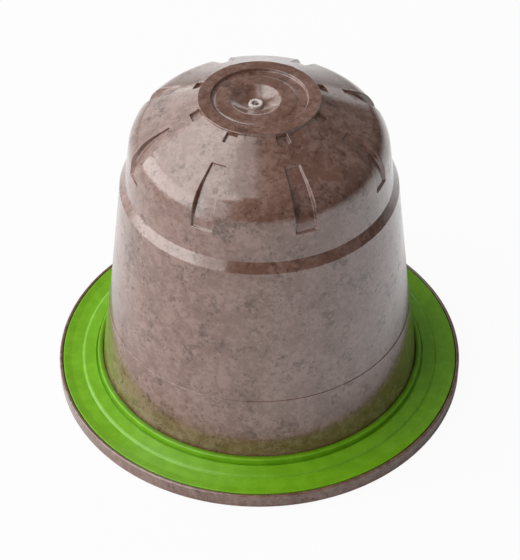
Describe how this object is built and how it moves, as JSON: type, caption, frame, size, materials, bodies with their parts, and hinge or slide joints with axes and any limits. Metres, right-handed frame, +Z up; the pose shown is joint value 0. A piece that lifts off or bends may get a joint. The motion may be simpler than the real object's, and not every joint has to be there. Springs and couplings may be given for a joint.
{
  "type": "coffee pod",
  "caption": "Single-serve coffee pod: a tapered cup with a domed, panelled crown, a flange with a soft seal ring, and a sealed lid underneath.",
  "frame": {"origin": "centre of the underside, in the plane that the pod stands on", "axes": "+Z up along the pod's axis, from the lid to the crown; -Y is the front, midway between two crown panels"},
  "size_m": [0.037, 0.037, 0.03],
  "materials": {
    "cup_plastic": "semi-gloss warm brown plant-fibre plastic with fine darker flecks and mottling",
    "seal_green": "smooth semi-gloss leaf green, soft moulded seal",
    "lid_paper": "matt pale paper membrane with fine fibres and a pressed sealing band"
  },
  "bodies": {
    "root": {"cup": "cup_plastic", "seal_ring": "seal_green", "lid_membrane": "lid_paper"}
  },
  "joints": []
}
